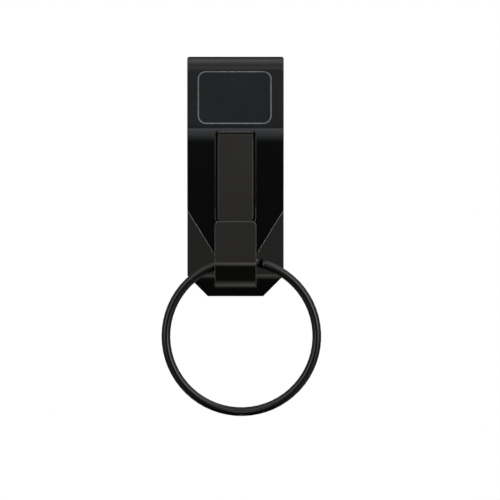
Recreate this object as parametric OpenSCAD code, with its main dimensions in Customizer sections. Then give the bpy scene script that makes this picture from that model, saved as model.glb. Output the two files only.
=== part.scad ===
// Slip-on belt key clip: a folded, lanced spring steel sheet with a hook at its foot, and a split ring.
// Upright as worn. +Z is up, the front faces -Y, and the origin is the seat of the belt's upper edge.

/* [Sheet] */
// Thickness of the spring steel sheet
sheet_t = 0.8; // [0.6:0.05:0.9]
// Width of the folded sheet
clip_w = 23; // [21:0.1:26]
// Height of the clip over all, from the top of the fold to the foot
clip_h = 57.15; // [56.5:0.05:60]
// Radius of the sheet's outer corners, seen from the front
corner_r = 0.6; // [0.3:0.05:1.5]

/* [Back leg] */
// Gap for the belt between the legs, at the fold
belt_gap = 5; // [4.6:0.1:5.6]
// Width and height of the cut at each corner of the foot
foot_chamfer = 4.9; // [3:0.1:6]
// Height of the kicked lead-in at the foot
kick_h = 3.4; // [3:0.1:5]
// Angle of the lead-in away from the belt
kick_deg = 16; // [8:1:20]
// Inner radius of the bend above the lead-in
kick_bend_r = 6; // [3:0.5:8]

/* [Front panel] */
// Height of the flat part below the fold
panel_flat_h = 13.2; // [13.1:0.1:14.5]
// Height above the foot at which the lean ends and the neck begins
neck_rise = 9.9; // [8.5:0.1:10.5]
// Inner radius of the bend where the lean starts
lean_bend_r = 22; // [12:0.5:24]
// Inner radius of the bend where the lean ends at the neck
neck_bend_r = 3; // [2:0.5:4]
// Clearance between the neck and the back leg
pinch_gap = 0.15; // [0.1:0.05:0.4]
// Height above the foot at which the panel starts to taper
taper_rise = 20.45; // [19:0.05:23]
// Height of the taper down to the neck
taper_h = 10; // [8:0.1:10.5]
// Width of the neck below the taper
neck_w = 10.6; // [10.2:0.1:12]
// Radius of the fillet between the taper and the neck
neck_fillet_r = 5; // [2:0.5:6]

/* [Emblem frame] */
// Width of the raised frame on the flat part
emblem_w = 17.5; // [12:0.1:19]
// Height of the raised frame
emblem_h = 12.5; // [8:0.1:12.6]
// Depth of the frame's upper edge below the top of the clip
emblem_top = 3.55; // [3.4:0.05:3.6]
// Outer corner radius of the frame
emblem_r = 1.9; // [1:0.1:3]
// Width of the frame's raised line
emblem_line = 0.2; // [0.2:0.05:0.6]
// Height of the raised line above the panel
emblem_rise = 0.12; // [0.08:0.02:0.3]
// Sideways shift of the frame from the middle
emblem_shift = -0.2; // [-1:0.1:1]

/* [Gate window] */
// Width of the window in the front panel
window_w = 9.6; // [9.3:0.1:10.2]
// Depth of the window's upper edge below the top of the clip
window_top = 17.8; // [17.4:0.1:18.2]
// Height of the window's lower edge above the foot
window_rise = 16.55; // [15.5:0.05:17]
// Corner radius at the window's upper edge
window_top_r = 0.7; // [0.3:0.1:0.7]
// Corner radius at the window's lower edge
window_foot_r = 2.4; // [1.5:0.1:3]

/* [Gate tongue] */
// Width of the gate tongue
gate_w = 8.4; // [7:0.1:8.4]
// Clearance between the tongue's tip and the window's lower edge
gate_tip_gap = 0.5; // [0.4:0.05:0.7]
// Corner radius of the tongue's tip
gate_tip_r = 2; // [1.5:0.1:2.6]
// Clearance between the tongue and the back of the hook's lip
gate_lip_gap = 0.12; // [0.1:0.02:0.3]
// Height of the step that sets the tongue back from the panel
gate_step_h = 1; // [0.8:0.05:1.5]

/* [Ring hook] */
// Width of the hook
hook_w = 9.9; // [9.6:0.1:10.2]
// Height of the hook's lowest point above the foot
hook_rise = 1.95; // [1.5:0.05:2.3]
// Inner radius of the hook's bend
hook_bend_r = 1.7; // [1.5:0.05:1.9]
// Angle by which the front of the hook slants forward above its bend
slant_deg = 15; // [12:1:18]
// Height of the slanted part
slant_h = 2.85; // [2.5:0.05:4]
// Inner radius of the bend between the slanted part and the lip
lip_bend_r = 4.5; // [3:0.5:6]
// Height of the lip's upper edge above the foot
lip_rise = 17.85; // [17.6:0.05:18.6]
// Corner radius of the lip's upper edge
lip_r = 1; // [0.5:0.1:2]

/* [Split ring] */
// Outer diameter of the split ring
ring_d = 38.1; // [32:0.1:42]
// Width of the ring's wire across the ring
wire_w = 2.1; // [1.6:0.05:2.2]
// Thickness of the ring's wire along the ring's axis
wire_t = 1.1; // [0.9:0.05:1.2]
// Clearance between the ring's two turns
turn_gap = 0.04; // [0.02:0.01:0.1]
// Height of the ring's highest point above the hook's lowest point
ring_rise = 7.6; // [7.2:0.1:7.8]
// Sideways place of the ring's centre
ring_x = 1.4; // [-1.4:0.1:1.4]
// Clearance between the ring and the neck behind it
ring_gap = 0.6; // [0.5:0.05:0.8]
// Angle from the top of the ring at which the wire steps from one turn to the other
step_deg = 4; // [0:1:60]
// Half the angle that the step takes
step_half_deg = 8; // [6:1:12]
// Angle left free between the step and each end of the wire
end_gap_deg = 1; // [1:0.5:4]

/* [Hidden] */
$fn = 96;
// Even steps in each of the panel's shallow bends, and in the fillets between its taper and its neck
bend_steps = 6;
fillet_steps = 8;

// Length by which a cutting shape runs past what it cuts
overrun = 5;
// Rings of points in each full turn of the wire, and in its step
turn_rings = 60;
step_rings = 10;
// Points round the wire's oval section
section_points = 20;

// Heights of the main features in the clip's own frame
top_z = sheet_t;
foot_z = top_z - clip_h;
fold_z = -belt_gap / 2;
lean_z = fold_z - panel_flat_h;
taper_z = foot_z + taper_rise;
neck_z = taper_z - taper_h;
lip_z = foot_z + lip_rise;
hook_z = foot_z + hook_rise;
window_top_z = top_z - window_top;
window_foot_z = foot_z + window_rise;
lean_end_z = foot_z + neck_rise;

// Places of the sheet's faces from back to front
back_y = belt_gap / 2;
panel_y = -belt_gap / 2;
neck_y = back_y - pinch_gap;

// Outer radii of the bends, which lie one sheet outside their inner ones
hook_outer_r = hook_bend_r + sheet_t;
lip_outer_r = lip_bend_r + sheet_t;
neck_outer_r = neck_bend_r + sheet_t;

// Lean of the panel: the slope of the line that touches the bends at both of its ends
lean_radii = lean_bend_r + neck_outer_r;
lean_side = lean_radii - (neck_y - panel_y);
lean_deg = asin(lean_radii / norm([lean_z - lean_end_z, lean_side])) - atan2(lean_side, lean_z - lean_end_z);

// Centre of the hook's bend, and the front face of its lip
hook_c = [neck_y - hook_outer_r, hook_z + hook_outer_r];
slant_foot = hook_c - hook_outer_r * [cos(slant_deg), sin(slant_deg)];
slant_head = slant_foot + slant_h * [-tan(slant_deg), 1];
lip_front_y = slant_head[0] - lip_outer_r * (1 - cos(slant_deg));
lip_back_y = lip_front_y + sheet_t;
lip_bend_z = slant_head[1] + lip_outer_r * sin(slant_deg);

// Corner radius at the upper end of the slots beside the tongue's root, limited by the slots' width
slot_r = min(window_top_r, (window_w - gate_w) / 2);

// Front face and lower end of the gate tongue
gate_front_y = lip_back_y + gate_lip_gap;
gate_tip_z = window_foot_z + gate_tip_gap;

// Centre of the ring, whose rear turn lies near the neck
ring_r = ring_d / 2;
ring_mid_r = ring_r - wire_w / 2;
turn_y = (wire_t + turn_gap) / 2;
ring_c = [ring_x, neck_y - sheet_t - ring_gap - turn_y - wire_t / 2, hook_z + ring_rise - ring_r];

echo(lip_front_y = lip_front_y, gate_front_y = gate_front_y, lean_deg = lean_deg, ring_c = ring_c);

// Lays a side view, drawn as [y, z], across the given width of the sheet
module across(w) {
    translate([-w / 2, 0, 0])
        rotate([90, 0, 90])
            linear_extrude(w)
                children();
}

// Cuts a front view, drawn as [x, z], through the clip's whole depth
module through() {
    depth = belt_gap + 2 * (sheet_t + overrun);
    translate([0, depth / 2, 0])
        rotate([90, 0, 0])
            linear_extrude(depth)
                children();
}

// Corner where the tangents at two angles of a circle meet
function corner(c, r, from, to) =
    let (mid = (from + to) / 2)
    c + r / cos((to - from) / 2) * [cos(mid), sin(mid)];

// Point of a circle at an angle
function on_circle(c, r, a) = c + r * [cos(a), sin(a)];

// Points of a shallow bend in the panel's side view
function shallow_bend(c, r, from, to) =
    [for (i = [0:bend_steps]) on_circle(c, r, from + (to - from) * i / bend_steps)];

// Turns one mitred corner of a side view into a bend: centre, inner radius, and the angles of its ends
module bent(c, r, from, to) {
    outer_r = r + sheet_t;
    mid_r = r + sheet_t / 2;
    difference() {
        children();
        difference() {
            polygon([
                on_circle(c, outer_r, from),
                corner(c, outer_r + sheet_t, from, to),
                on_circle(c, outer_r, to)
            ]);
            translate(c)
                circle(outer_r);
        }
    }
    difference() {
        polygon([c, on_circle(c, mid_r, from), corner(c, mid_r, from, to), on_circle(c, mid_r, to)]);
        translate(c)
            circle(r);
    }
}

// Rectangle with its own corner radii at the top and at the foot, in front view
module rounded_panel(w, top, foot, top_r, foot_r) {
    half = w / 2;
    union() {
        translate([-half, foot + foot_r])
            square([w, top - top_r - foot - foot_r]);
        translate([-half + top_r, foot + foot_r])
            square([w - 2 * top_r, top - foot - foot_r]);
        translate([-half + foot_r, foot])
            square([w - 2 * foot_r, foot_r]);
        for (side = [-1, 1]) {
            translate([side * (half - top_r), top - top_r])
                circle(top_r);
            translate([side * (half - foot_r), foot + foot_r])
                circle(foot_r);
        }
    }
}

// Front view of the back leg, with its foot's corners cut away
module back_outline() {
    half = clip_w / 2;
    polygon([
        [-half, fold_z],
        [half, fold_z],
        [half, foot_z + foot_chamfer],
        [half - foot_chamfer, foot_z],
        [foot_chamfer - half, foot_z],
        [-half, foot_z + foot_chamfer]
    ]);
}

// Front view of the panel: full width, a taper on both sides, and fillets down to the neck
module panel_outline() {
    half = clip_w / 2;
    neck = neck_w / 2;
    taper_deg = atan((half - neck) / taper_h);
    tangent = neck_fillet_r * tan(taper_deg / 2);
    fillet_x = neck + neck_fillet_r;
    fillet_z = neck_z - tangent;
    right = [for (i = [0:fillet_steps]) let (a = taper_deg * (1 - i / fillet_steps))
        [fillet_x - neck_fillet_r * cos(a), fillet_z + neck_fillet_r * sin(a)]];
    left = [for (i = [fillet_steps:-1:0]) [-right[i][0], right[i][1]]];
    polygon(concat(
        [[-half, fold_z], [half, fold_z], [half, taper_z]],
        right,
        [[neck, lean_end_z - overrun], [-neck, lean_end_z - overrun]],
        left,
        [[-half, taper_z]]
    ));
}

// Side view of the back leg, with its foot bent away from the belt
module back_profile() {
    kick_outer_r = kick_bend_r + sheet_t;
    kick_c = [back_y + kick_outer_r, foot_z + kick_h + kick_outer_r * sin(kick_deg)];
    kick_end = (kick_h + overrun) * [sin(kick_deg), -cos(kick_deg)];
    bent(kick_c, kick_bend_r, 180, 180 + kick_deg)
        polygon([
            [back_y, fold_z],
            corner(kick_c, kick_outer_r, 180, 180 + kick_deg),
            on_circle(kick_c, kick_outer_r, 180 + kick_deg) + kick_end,
            on_circle(kick_c, kick_bend_r, 180 + kick_deg) + kick_end,
            corner(kick_c, kick_bend_r, 180, 180 + kick_deg),
            [back_y + sheet_t, fold_z]
        ]);
}

module back_leg() {
    color("#262522")
        intersection() {
            across(clip_w)
                back_profile();
            through()
                back_outline();
        }
}

module top_fold() {
    color("#2c2c30")
        intersection() {
            across(clip_w)
                difference() {
                    translate([0, fold_z])
                        circle(belt_gap / 2 + sheet_t);
                    translate([0, fold_z])
                        circle(belt_gap / 2);
                    translate([-belt_gap - overrun, fold_z - belt_gap - overrun])
                        square([2 * (belt_gap + overrun), belt_gap + overrun]);
                }
            through()
                rounded_panel(clip_w, top_z, fold_z - overrun, corner_r, corner_r);
        }
}

// Side view of the panel from the fold down to the neck
module panel_profile() {
    upper_c = [panel_y + lean_bend_r, lean_z];
    lower_c = [neck_y - neck_outer_r, lean_end_z];
    polygon(concat(
        [[panel_y - sheet_t, fold_z]],
        shallow_bend(upper_c, lean_bend_r + sheet_t, 180, 180 + lean_deg),
        shallow_bend(lower_c, neck_bend_r, lean_deg, 0),
        shallow_bend(lower_c, neck_outer_r, 0, lean_deg),
        shallow_bend(upper_c, lean_bend_r, 180 + lean_deg, 180),
        [[panel_y, fold_z]]
    ));
}

// Raised line round the place of the emblem, in front view
module emblem_ring() {
    top = top_z - emblem_top;
    difference() {
        rounded_panel(emblem_w, top, top - emblem_h, emblem_r, emblem_r);
        rounded_panel(
            emblem_w - 2 * emblem_line,
            top - emblem_line,
            top - emblem_h + emblem_line,
            emblem_r - emblem_line,
            emblem_r - emblem_line
        );
    }
}

module front_panel() {
    color("#1b1b1f")
        union() {
            difference() {
                intersection() {
                    across(clip_w)
                        panel_profile();
                    through()
                        panel_outline();
                }
                through()
                    rounded_panel(window_w, window_top_z, window_foot_z, slot_r, window_foot_r);
            }
            translate([emblem_shift, panel_y - sheet_t / 2, 0])
                rotate([90, 0, 0])
                    linear_extrude(sheet_t / 2 + emblem_rise)
                        emblem_ring();
        }
}

// Side view of the gate tongue: its root lies in the panel, and a step sets the blade back behind the lip
module gate_profile() {
    root_y = panel_y - sheet_t;
    step = gate_front_y - root_y;
    plain_h = (gate_step_h - step) / 2;
    step_z = window_top_z - plain_h;
    polygon([
        [root_y, window_top_z],
        [root_y, step_z],
        [root_y + step, step_z - step],
        [root_y + step, gate_tip_z],
        [root_y + step + sheet_t, gate_tip_z],
        [root_y + step + sheet_t, window_top_z - step],
        [root_y + sheet_t, window_top_z]
    ]);
}

module gate_tongue() {
    color("#2b2a26")
        intersection() {
            across(gate_w)
                gate_profile();
            through()
                rounded_panel(gate_w, window_top_z + gate_tip_r, gate_tip_z, corner_r, gate_tip_r);
        }
}

// Side view of the hook: the neck's foot, the round bend in three equal arcs, the slanted part and the lip
module hook_profile() {
    lip_c = [lip_front_y + lip_outer_r, lip_bend_z];
    slant_from = 180 + slant_deg;
    arc_deg = (360 - slant_from) / 3;
    arc_ends = [for (i = [0:3]) slant_from + i * arc_deg];
    bent(lip_c, lip_bend_r, 180, slant_from)
        bent(hook_c, hook_bend_r, arc_ends[0], arc_ends[1])
            bent(hook_c, hook_bend_r, arc_ends[1], arc_ends[2])
                bent(hook_c, hook_bend_r, arc_ends[2], arc_ends[3])
                    polygon(concat(
                        [[lip_back_y, lip_z], [lip_front_y, lip_z]],
                        [corner(lip_c, lip_outer_r, 180, slant_from)],
                        [for (i = [0:2]) corner(hook_c, hook_outer_r, arc_ends[i], arc_ends[i + 1])],
                        [[neck_y, lean_end_z], [neck_y - sheet_t, lean_end_z]],
                        [for (i = [2:-1:0]) corner(hook_c, hook_bend_r, arc_ends[i], arc_ends[i + 1])],
                        [corner(lip_c, lip_bend_r, 180, slant_from)]
                    ));
}

module ring_hook() {
    color("#282724")
        intersection() {
            across(hook_w)
                hook_profile();
            through()
                rounded_panel(hook_w, lip_z, hook_z - overrun, lip_r, corner_r);
        }
}

// Oval outline of the wire, as [outwards, along the axis]
wire_section = [for (i = [0:section_points - 1]) let (a = 360 * i / section_points)
    [wire_w * cos(a), wire_t * sin(a)] / 2];

// Share of the step between the turns that the wire has made at an angle from the step's middle
function step_share(a) =
    let (s = min(1, max(0, (a + step_half_deg) / (2 * step_half_deg))))
    s * s * (3 - 2 * s);

// Angles along the wire, close together in its step and at an even pace on both turns
turn_from = step_half_deg + end_gap_deg;
turn_sweep = 360 - turn_from - step_half_deg;
wire_angles = concat(
    [for (i = [0:turn_rings]) turn_from + turn_sweep * i / turn_rings - 360],
    [for (i = [1:step_rings]) step_half_deg * (2 * i / step_rings - 1)],
    [for (i = [1:turn_rings]) step_half_deg + turn_sweep * i / turn_rings]
);

// A point of the wire: its angle along the wire, and the place in its section
function wire_point(a, p) =
    let (
        r = ring_mid_r + p[0],
        turn = a + step_deg
    )
    ring_c + [r * sin(turn), p[1] + turn_y * (2 * step_share(a) - 1), r * cos(turn)];

module split_ring() {
    n = len(wire_section);
    rings = len(wire_angles);
    points = [for (a = wire_angles, p = wire_section) wire_point(a, p)];
    sides = [for (k = [0:rings - 2], i = [0:n - 1], half = [0, 1]) let (
        next = (i + 1) % n,
        a = k * n + i,
        b = k * n + next
    ) half == 0 ? [a, b, b + n] : [a, b + n, a + n]];
    start = [for (i = [1:n - 2]) [0, i + 1, i]];
    last = (rings - 1) * n;
    finish = [for (i = [1:n - 2]) [last, last + i, last + i + 1]];
    color("#1d1c1b")
        polyhedron(points = points, faces = concat(sides, start, finish));
}

back_leg();
top_fold();
front_panel();
gate_tongue();
ring_hook();
split_ring();
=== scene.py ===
import math
import bpy
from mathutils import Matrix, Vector


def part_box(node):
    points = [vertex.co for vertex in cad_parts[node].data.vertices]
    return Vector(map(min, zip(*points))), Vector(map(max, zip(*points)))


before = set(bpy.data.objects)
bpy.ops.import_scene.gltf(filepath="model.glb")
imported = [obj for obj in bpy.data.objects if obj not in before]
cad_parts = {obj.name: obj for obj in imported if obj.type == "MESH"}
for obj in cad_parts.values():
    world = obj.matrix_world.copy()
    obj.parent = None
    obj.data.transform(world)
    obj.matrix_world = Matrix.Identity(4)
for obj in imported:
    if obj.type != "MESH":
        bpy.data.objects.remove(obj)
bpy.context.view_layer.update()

# The photograph shows the clip from straight in front, 4.193 px to a millimetre
FRAME_PX = 500
PX_PER_METRE = 4193
VIEW_WIDTH = FRAME_PX / PX_PER_METRE
VIEW_CENTRE = (0.00346, 0, -0.0453)
VIEW_DISTANCE = 2.0
VIEW_END = 10
SENSOR_WIDTH = 36

# Noise of the plating, as scale per metre and detail: cloudy gloss, patches of pale edges (part wear, part
# painted highlight), and orange peel
CLOUD = (160, 4)
GRAIN = (900, 3)
PEEL = (2200, 2)
PEEL_HEIGHT = 0.00002

# Shares of the roughness, the colour and the pale edges, part wear and part painted highlight, by those noises
ROUGH_SHARES = [(0.3, 0.85), (0.7, 1.2)]
TONE_SHARES = [(0.3, 0.85), (0.7, 1.15)]
PATCH_SHARES = [(0.35, 0.55), (0.65, 1.0)]

# Share of the pale edges, part wear and part painted edge highlight, by the cosine between an edge's rounded
# normal and the face's own
EDGE_SHARES = [(0.86, 1.0), (0.995, 0.0)]

# Share by the place between the middle of a box, 0, and its walls, 1
BOX_SHARES = [(0.9, 1.0), (1.0, 0.0)]

LACQUER_IOR = 1.5
# Grey painted on the panel's lower edges as a painted edge highlight
EDGE_HIGHLIGHT_GREY = (0.5, 0.5, 0.49)
MATT_ROUGHNESS = (0.6, 0.6, 0.6)
BEVEL_SAMPLES = 8
SHEET_ROUNDING = 0.0003
WIRE_ROUNDING = 0.00005

# The ring's facets are joined across gaps up to this, and both weights even out the shading over bends
WELD_GAP = 0.000002
SHEET_WEIGHT = 80
WIRE_WEIGHT = 50

# The top of the emblem's frame is what lies within this depth of the panel's foremost point, and it is painted
# pale as a painted highlight
EMBLEM_DEPTH = 0.00003

# Edges of the panel less than this above its foot are painted much paler, as a painted edge highlight
EDGE_HIGHLIGHT_RISE = 0.01125


def past(low, high, before, behind):
    """A box with room before its lowest and behind its highest corner, along X, Y and Z."""
    return [v - room for v, room in zip(low, before)], [v + room for v, room in zip(high, behind)]


# At the fold's foot the sheet runs on into the leg and the panel
FOLD_ROOM = (0.0005, 0.0007, 0.0005)
fold_low, fold_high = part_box("top_fold")
FOLD_SEAM = past(fold_low, (fold_high[0], fold_high[1], fold_low[2]), FOLD_ROOM, FOLD_ROOM)

# At the panel's foot the sheet runs on into the hook, whose lip stands in front and is left out
NECK_ROOM_BEFORE = (0.00105, 0.00135, 0.00055)
NECK_ROOM_BEHIND = (0.00105, 0.00065, 0.00055)
panel_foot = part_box("front_panel")[0][2]
hook_low, hook_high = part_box("ring_hook")
NECK_SEAM = past((hook_low[0], hook_high[1], panel_foot), (hook_high[0], hook_high[1], panel_foot),
                 NECK_ROOM_BEFORE, NECK_ROOM_BEHIND)

# The leg's face behind the tongue and its window, which no buffing wheel reached
SHADE_ROOM_BEFORE = (0.0014, 0.0025, 0.0007)
SHADE_ROOM_BEHIND = (0.0014, 0.0004, 0.0010)
leg_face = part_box("back_leg")[0][1]
gate_low, gate_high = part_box("gate_tongue")
SHADED_INSIDE = past((gate_low[0], leg_face, gate_low[2]), (gate_high[0], leg_face, gate_high[2]),
                     SHADE_ROOM_BEFORE, SHADE_ROOM_BEHIND)


def node(tree, kind, **values):
    made = tree.nodes.new(kind)
    for name, value in values.items():
        setattr(made, name, value)
    return made


def feed(tree, socket, value):
    """Links a socket to an output, or sets it to a number, a vector or a colour without its alpha."""
    if isinstance(value, bpy.types.NodeSocket):
        tree.links.new(value, socket)
    elif socket.type == "RGBA":
        socket.default_value = (*value, 1)
    else:
        socket.default_value = value


def feed_named(tree, made, values):
    for name, value in values.items():
        feed(tree, made.inputs[name], value)


def ramp(tree, stops, source):
    """Grey or colour by place along a line of stops."""
    made = node(tree, "ShaderNodeValToRGB")
    while len(made.color_ramp.elements) < len(stops):
        made.color_ramp.elements.new(1.0)
    for element, (place, value) in zip(made.color_ramp.elements, stops):
        element.position = place
        element.color = (value, value, value, 1) if isinstance(value, (int, float)) else (*value, 1)
    feed(tree, made.inputs["Fac"], source)
    return made.outputs["Color"]


def maths(tree, operation, *values):
    made = node(tree, "ShaderNodeMath", operation=operation)
    for socket, value in zip(made.inputs, values):
        feed(tree, socket, value)
    return made.outputs["Value"]


def vectors(tree, operation, *values, result="Vector"):
    made = node(tree, "ShaderNodeVectorMath", operation=operation)
    for socket, value in zip(made.inputs, values):
        feed(tree, socket, value)
    return made.outputs[result]


def axes(tree, vector):
    made = node(tree, "ShaderNodeSeparateXYZ")
    feed(tree, made.inputs["Vector"], vector)
    return made.outputs


def blend(tree, share, first, second, mode="MIX", kind="RGBA"):
    made = node(tree, "ShaderNodeMix", data_type=kind, blend_type=mode)
    feed_named(tree, made, {"Factor": share, "A": first, "B": second})
    return made.outputs["Result"]


def noise(tree, place, scale, detail):
    made = node(tree, "ShaderNodeTexNoise")
    feed_named(tree, made, {"Scale": scale, "Detail": detail, "Vector": place})
    return made.outputs["Fac"]


def inside_box(tree, place, low, high):
    """1 inside a box of the object's own space, falling to 0 at its walls."""
    middle = [(a + b) / 2 for a, b in zip(low, high)]
    reach = [(b - a) / 2 for a, b in zip(low, high)]
    moved = vectors(tree, "SUBTRACT", place, middle)
    part = axes(tree, vectors(tree, "ABSOLUTE", vectors(tree, "DIVIDE", moved, reach)))
    wide = maths(tree, "MAXIMUM", part["X"], part["Y"])
    return ramp(tree, BOX_SHARES, maths(tree, "MAXIMUM", wide, part["Z"]))


def rounded_edges(tree, place, rounding, seams):
    """The normal with its edges rounded, except where the sheet runs on, and how near it is to an edge."""
    flat = node(tree, "ShaderNodeNewGeometry").outputs["Normal"]
    bevel = node(tree, "ShaderNodeBevel", samples=BEVEL_SAMPLES)
    feed(tree, bevel.inputs["Radius"], rounding)
    rounded = bevel.outputs["Normal"]
    for seam in seams:
        rounded = blend(tree, inside_box(tree, place, *seam), rounded, flat, kind="VECTOR")
    turn = vectors(tree, "DOT_PRODUCT", rounded, flat, result="Value")
    return rounded, ramp(tree, EDGE_SHARES, turn)


def orange_peel(tree, place, rounded, depth):
    bump = node(tree, "ShaderNodeBump")
    feed_named(tree, bump, {"Strength": depth, "Distance": PEEL_HEIGHT, "Height": noise(tree, place, *PEEL),
                            "Normal": rounded})
    return bump.outputs["Normal"]


def plated(name, base, specular, rough, tint, edge_wear_and_highlight, rounding=SHEET_ROUNDING, emblem_highlight=0.0, dull=None,
           highlit_edges_below=0.0, seams=(), peel_depth=0.05):
    """Black plating on steel: gloss with fine orange peel, cloudy roughness and paler edges, part wear and part
    painted edge highlight.

    emblem_highlight is the grey painted on the top of the raised frame as a painted highlight, dull a box
    without gloss, highlit_edges_below the height below which edges are painted much paler as a painted edge
    highlight, and seams the boxes where the sheet has no edge.
    """
    mat = bpy.data.materials.new(name)
    mat.use_nodes = True
    tree = mat.node_tree
    place = node(tree, "ShaderNodeTexCoord").outputs["Object"]
    part = axes(tree, place)
    cloud = noise(tree, place, *CLOUD)
    patch = ramp(tree, PATCH_SHARES, noise(tree, place, *GRAIN))
    rounded, edge = rounded_edges(tree, place, rounding, seams)
    # Pale edges in patches: part wear, part painted edge highlight
    worn_and_highlit_edges = maths(tree, "MULTIPLY", edge, patch)

    gloss = ramp(tree, [(at, rough * share) for at, share in ROUGH_SHARES], cloud)
    if dull:
        gloss = blend(tree, inside_box(tree, place, *dull), gloss, MATT_ROUGHNESS)

    tone = ramp(tree, [(at, tuple(v * share for v in base)) for at, share in TONE_SHARES], cloud)
    # The edges are painted paler here: part wear, part painted edge highlight
    finish = blend(tree, worn_and_highlit_edges, tone, edge_wear_and_highlight)
    # Painted edge highlight: the panel's edges below a height are painted much paler
    if highlit_edges_below:
        below = maths(tree, "LESS_THAN", part["Z"], highlit_edges_below)
        finish = blend(tree, maths(tree, "MULTIPLY", below, worn_and_highlit_edges), finish, EDGE_HIGHLIGHT_GREY)
    # Painted highlight: the top of the emblem's raised frame is painted pale
    if emblem_highlight:
        raised = maths(tree, "LESS_THAN", part["Y"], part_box("front_panel")[0][1] + EMBLEM_DEPTH)
        finish = blend(tree, maths(tree, "MULTIPLY", raised, patch), finish, (emblem_highlight, emblem_highlight, emblem_highlight))

    feed_named(tree, tree.nodes["Principled BSDF"], {
        "IOR": LACQUER_IOR, "Specular IOR Level": specular, "Specular Tint": tint, "Roughness": gloss,
        "Base Color": finish, "Normal": orange_peel(tree, place, rounded, peel_depth)})
    return mat


def dress(name, mat, weld=False):
    """Gives a CAD node its material and even shading over its bends."""
    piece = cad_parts[name]
    piece.data.materials.clear()
    piece.data.materials.append(mat)
    for face in piece.data.polygons:
        face.use_smooth = True
        face.material_index = 0
    if weld:
        joined = piece.modifiers.new("join_facets", "WELD")
        joined.merge_threshold = WELD_GAP
    even = piece.modifiers.new("even_shading", "WEIGHTED_NORMAL")
    even.weight = WIRE_WEIGHT if weld else SHEET_WEIGHT
    even.keep_sharp = not weld


# The sheet's pale edge colour is part wear, part painted edge highlight
sheet = dict(base=(0.0012, 0.0012, 0.0011), edge_wear_and_highlight=(0.16, 0.16, 0.155))
# The pieces of the one sheet get copies of one plating whose specular level and tint differ to make each piece
# lighter or darker, bluer or warmer, as light falls on it: painted light and shade
dress("back_leg", plated("plated_back", specular=0.48, rough=0.1, tint=(1.0, 0.97, 0.9), dull=SHADED_INSIDE,
                         seams=[FOLD_SEAM], **sheet))
dress("top_fold", plated("plated_fold", specular=0.5, rough=0.1, tint=(0.96, 0.97, 1.0), seams=[FOLD_SEAM],
                         **sheet))
# The panel's painted highlights: the pale top of the emblem's frame and much paler lower edges
dress("front_panel", plated("plated_panel", specular=0.42, rough=0.08, tint=(0.88, 0.92, 1.0), emblem_highlight=0.27,
                            highlit_edges_below=panel_foot + EDGE_HIGHLIGHT_RISE, seams=[FOLD_SEAM, NECK_SEAM], **sheet))
dress("gate_tongue", plated("plated_gate", specular=0.6, rough=0.08, tint=(1.0, 0.97, 0.9), **sheet))
dress("ring_hook", plated("plated_hook", specular=0.6, rough=0.09, tint=(1.0, 0.97, 0.92), seams=[NECK_SEAM],
                          **sheet))
# The ring's pale edges too are part wear, part painted edge highlight
dress("split_ring", plated("plated_ring", base=(0.0012, 0.0011, 0.0011), edge_wear_and_highlight=(0.02, 0.02, 0.02), specular=0.5,
                           rough=0.05, tint=(1.0, 0.98, 0.95), rounding=WIRE_ROUNDING, peel_depth=0.01),
      weld=True)

# The world's light is laid out by direction. Its shades are ramp values, which end at 1, times this strength.
LIGHT = 4.0

# Straight in front and behind, by height in degrees: pale table, black cloth, a bright strip just under eye
# level, dim cards and a soft top
HEIGHT_LIGHT = [(-90, 1.15), (-70, 0.7), (-60, 0.52), (-45, 0.4), (-36, 0.045), (-18.5, 0.06), (-17, 0.2),
                (-14, 0.55), (-9, 1.2), (-5.5, 1.4), (-4.6, 1.85), (-2.9, 1.85), (-1.6, 0.42), (-0.6, 0.36),
                (0.1, 0.36), (0.8, 0.68), (3, 0.62), (10, 0.7), (55, 0.75), (70, 1.3), (90, 1.4)]

# How far the cards on both sides take over from that light, by the part along X without its sign
ASIDE_SHARES = [(0.015, 0.0), (0.04, 1.0)]

# The cards' light by the part along X, brighter on the right
SIDE_LIGHT = [(-0.8, 0.8), (-0.5, 1.8), (-0.3, 1.8), (-0.1, 1.5), (0.1, 1.5), (0.3, 3.0), (0.5, 3.0),
              (0.8, 1.0)]

# Share of the cards' light by the angle in degrees from the front: a circle of light round the camera, which
# draws fine lines on the wire of the ring
CIRCLE_SHARES = [(180, 0.06), (150, 0.1), (125, 0.3), (90, 0.42), (60, 0.45), (42, 0.45), (34, 0.2), (27, 1.0),
                 (16, 1.0), (11, 0.03), (0, 0.03)]

# Share of the cards' light by the part along Z, dark below eye level, and the least share on the flanks, where
# a pale table lies
LOW_SHARES = [(-0.35, 0.05), (-0.12, 0.25), (0.05, 1.0)]
TABLE_SHARE = (0.6, 0.6, 0.6)

# Share of all light by the part along Y: a dark screen behind the clip keeps its outline dark
SCREEN_SHARES = [(0.1, 1.0), (0.6, 0.2)]

# The flanks, by the part along X without its sign. The table lies on them outside an angle from the front, and
# the screen ends on them below a height, both in degrees.
FLANK_SHARES = [(0.35, 0.0), (0.6, 1.0)]
OFF_FRONT_SHARES = [(42, 1.0), (34, 0.0)]
UNDER_SHARES = [(-14, 1.0), (-4, 0.0)]

HALF = 0.5
WHITE = (1, 1, 1)


def along(part):
    """Place from 0 to 1 on a ramp for a direction's part along an axis, from -1 to 1."""
    return HALF + HALF * part


def by_height(stops):
    return [(along(math.sin(math.radians(degrees))), value) for degrees, value in stops]


def by_front(stops):
    return [(along(math.cos(math.radians(degrees))), value) for degrees, value in stops]


def by_part(stops):
    return [(along(part), value) for part, value in stops]


def dimmed(stops):
    return [(at, value / LIGHT) for at, value in stops]


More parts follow.
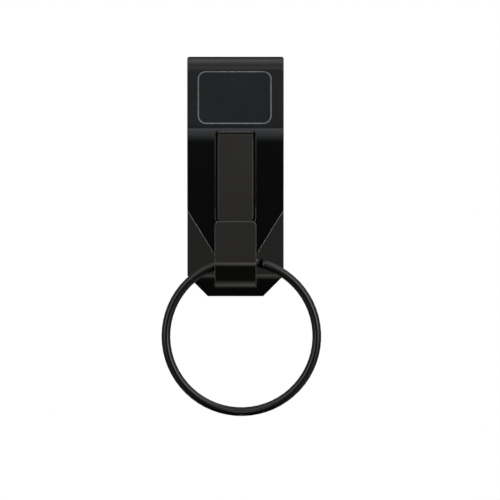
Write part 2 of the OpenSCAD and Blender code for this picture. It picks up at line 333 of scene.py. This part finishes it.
def studio():
    """The world: light by direction for the object, and white for the camera's own rays."""
    world = bpy.data.worlds.new("studio")
    world.use_nodes = True
    bpy.context.scene.world = world
    sky = world.node_tree
    part = axes(sky, node(sky, "ShaderNodeTexCoord").outputs["Generated"])
    level = maths(sky, "MULTIPLY_ADD", part["Z"], HALF, HALF)
    sideways = maths(sky, "MULTIPLY_ADD", part["X"], HALF, HALF)
    facing = maths(sky, "MULTIPLY_ADD", part["Y"], -HALF, HALF)
    beside = maths(sky, "ABSOLUTE", part["X"])
    flank = ramp(sky, FLANK_SHARES, beside)

    cards = ramp(sky, dimmed(by_part(SIDE_LIGHT)), sideways)
    circle = ramp(sky, by_front(CIRCLE_SHARES), facing)
    low = ramp(sky, by_part(LOW_SHARES), level)
    off_front = ramp(sky, by_front(OFF_FRONT_SHARES), facing)
    table = blend(sky, maths(sky, "MULTIPLY", off_front, flank), low, TABLE_SHARE, mode="LIGHTEN")
    for share in (circle, table):
        cards = blend(sky, 1.0, cards, share, mode="MULTIPLY")

    glow = ramp(sky, dimmed(by_height(HEIGHT_LIGHT)), level)
    lit = blend(sky, ramp(sky, ASIDE_SHARES, beside), glow, cards)
    behind = ramp(sky, SCREEN_SHARES, part["Y"])
    under = ramp(sky, by_height(UNDER_SHARES), level)
    screen = blend(sky, maths(sky, "MULTIPLY", under, flank), behind, WHITE)

    background = sky.nodes["Background"]
    feed_named(sky, background, {"Color": blend(sky, 1.0, lit, screen, mode="MULTIPLY"), "Strength": LIGHT})
    white = node(sky, "ShaderNodeBackground")
    feed(sky, white.inputs["Color"], WHITE)
    choose = node(sky, "ShaderNodeMixShader")
    feed(sky, choose.inputs["Fac"], node(sky, "ShaderNodeLightPath").outputs["Is Camera Ray"])
    feed(sky, choose.inputs[1], background.outputs["Background"])
    feed(sky, choose.inputs[2], white.outputs["Background"])
    feed(sky, sky.nodes["World Output"].inputs["Surface"], choose.outputs["Shader"])


# The floor lies well below the ring. Its lift makes it paler for the camera's own rays alone.
FLOOR_Z = -0.16
FLOOR_SIZE = 1.6
FLOOR_COLOUR = (0.9, 0.9, 0.9)
FLOOR_ROUGHNESS = 0.8
FLOOR_LIFT = 0.36


def pale_floor():
    """A matt floor that reflections on the metal leave out."""
    bpy.ops.mesh.primitive_plane_add(size=FLOOR_SIZE, location=(0, 0, FLOOR_Z))
    floor = bpy.context.object
    floor.name = "pale_floor"
    paper = bpy.data.materials.new("pale_paper")
    paper.use_nodes = True
    tree = paper.node_tree
    eye = node(tree, "ShaderNodeLightPath").outputs["Is Camera Ray"]
    feed_named(tree, tree.nodes["Principled BSDF"], {
        "Base Color": FLOOR_COLOUR, "Roughness": FLOOR_ROUGHNESS, "Emission Color": WHITE,
        "Emission Strength": maths(tree, "MULTIPLY", eye, FLOOR_LIFT)})
    floor.data.materials.append(paper)
    floor.visible_glossy = False


def front_camera():
    camera = bpy.data.objects.new("camera", bpy.data.cameras.new("camera"))
    bpy.context.collection.objects.link(camera)
    camera.location = Vector(VIEW_CENTRE) - Vector((0, VIEW_DISTANCE, 0))
    camera.rotation_euler = (math.radians(90), 0, 0)
    camera.data.sensor_width = SENSOR_WIDTH
    camera.data.lens = SENSOR_WIDTH * VIEW_DISTANCE / VIEW_WIDTH
    camera.data.clip_end = VIEW_END
    bpy.context.scene.camera = camera


studio()
pale_floor()
front_camera()
bpy.context.scene.view_settings.view_transform = "Standard"
